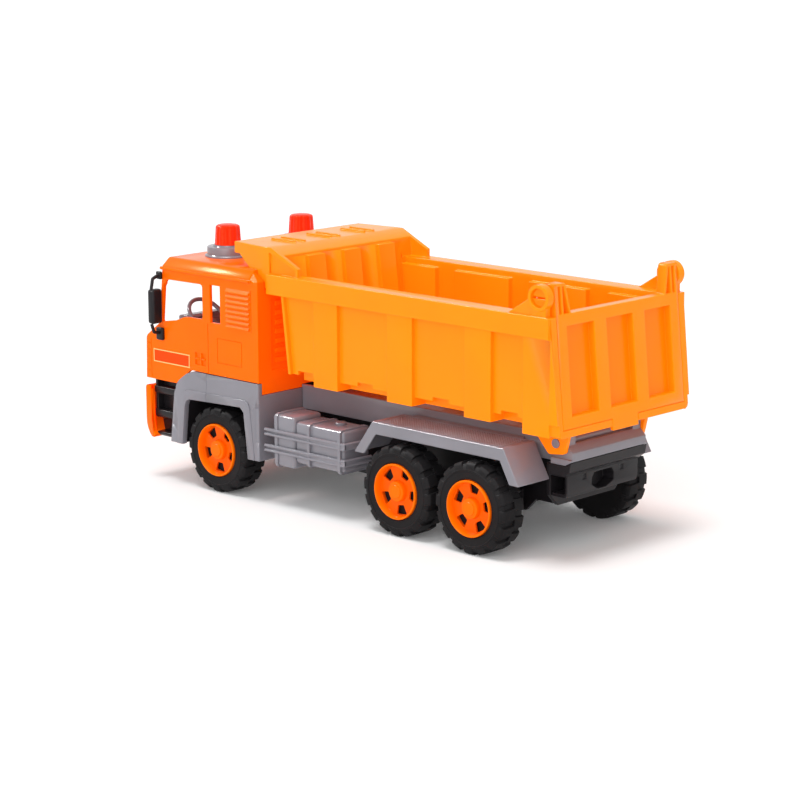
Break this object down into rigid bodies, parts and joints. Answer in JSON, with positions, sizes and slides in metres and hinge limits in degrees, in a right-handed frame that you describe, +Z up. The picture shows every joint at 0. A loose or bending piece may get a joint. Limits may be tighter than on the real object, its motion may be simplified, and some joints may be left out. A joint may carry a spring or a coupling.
{
  "type": "toy dump truck",
  "caption": "Plastic toy dump truck with an open cab, a tipping ribbed load body with a swinging tailgate, and free-rolling lugged wheels on three axles.",
  "frame": {"origin": "on the floor under the middle of the truck", "axes": "+X forward to the front bumper, +Y to the driver's left, +Z up"},
  "size_m": [0.38, 0.166, 0.184],
  "materials": {
    "cab_orange": "gloss",
    "bed_orange": "gloss",
    "rim_orange": "gloss",
    "grey_plastic": "semi-gloss",
    "black_plastic": "semi-gloss",
    "tyre": "satin",
    "beacon_red": "gloss",
    "steel": "drawn"
  },
  "bodies": {
    "chassis": {"underframe": "black_plastic", "rear_bumper": "black_plastic", "chassis_deck": "grey_plastic", "cab_base": "grey_plastic", "interior": "grey_plastic", "bed_pin": "grey_plastic", "steering_wheel": "grey_plastic", "cab_shell": "cab_orange", "front_bumper": "cab_orange", "fender_left": "grey_plastic", "tank_left": "grey_plastic", "steps_left": "black_plastic", "mirror_left": "black_plastic", "beacon_base_left": "grey_plastic", "beacon_cap_left": "beacon_red", "fender_right": "grey_plastic", "tank_right": "grey_plastic", "steps_right": "black_plastic", "mirror_right": "black_plastic", "beacon_base_right": "grey_plastic", "beacon_cap_right": "beacon_red"},
    "bed": {"dump_body": "bed_orange"},
    "tailgate": {"tailgate": "bed_orange"},
    "axle_front": {"axle_front": "steel", "rim_front_left": "rim_orange", "rim_front_right": "rim_orange", "tyre_front_left": "tyre", "tyre_front_right": "tyre"},
    "axle_middle": {"axle_middle": "steel", "rim_middle_left": "rim_orange", "rim_middle_right": "rim_orange", "tyre_middle_left": "tyre", "tyre_middle_right": "tyre"},
    "axle_rear": {"axle_rear": "steel", "rim_rear_left": "rim_orange", "rim_rear_right": "rim_orange", "tyre_rear_left": "tyre", "tyre_rear_right": "tyre"}
  },
  "joints": [
    {"name": "bed_tip", "type": "hinge", "parent": "chassis", "child": "bed", "pos_m": [-0.166, 0, 0.0746], "axis": [0, -1, 0], "range_deg": [0, 48]},
    {"name": "gate_swing", "type": "hinge", "parent": "bed", "child": "tailgate", "pos_m": [-0.1736, 0, 0.1711], "axis": [0, 1, 0], "range_deg": [0, 75]},
    {"name": "roll_front", "type": "hinge", "parent": "chassis", "child": "axle_front", "pos_m": [0.1169, 0, 0.0304], "axis": [0, 1, 0], "continuous": true},
    {"name": "roll_middle", "type": "hinge", "parent": "chassis", "child": "axle_middle", "pos_m": [-0.0569, 0, 0.0304], "axis": [0, 1, 0], "continuous": true},
    {"name": "roll_rear", "type": "hinge", "parent": "chassis", "child": "axle_rear", "pos_m": [-0.1216, 0, 0.0304], "axis": [0, 1, 0], "continuous": true}
  ]
}
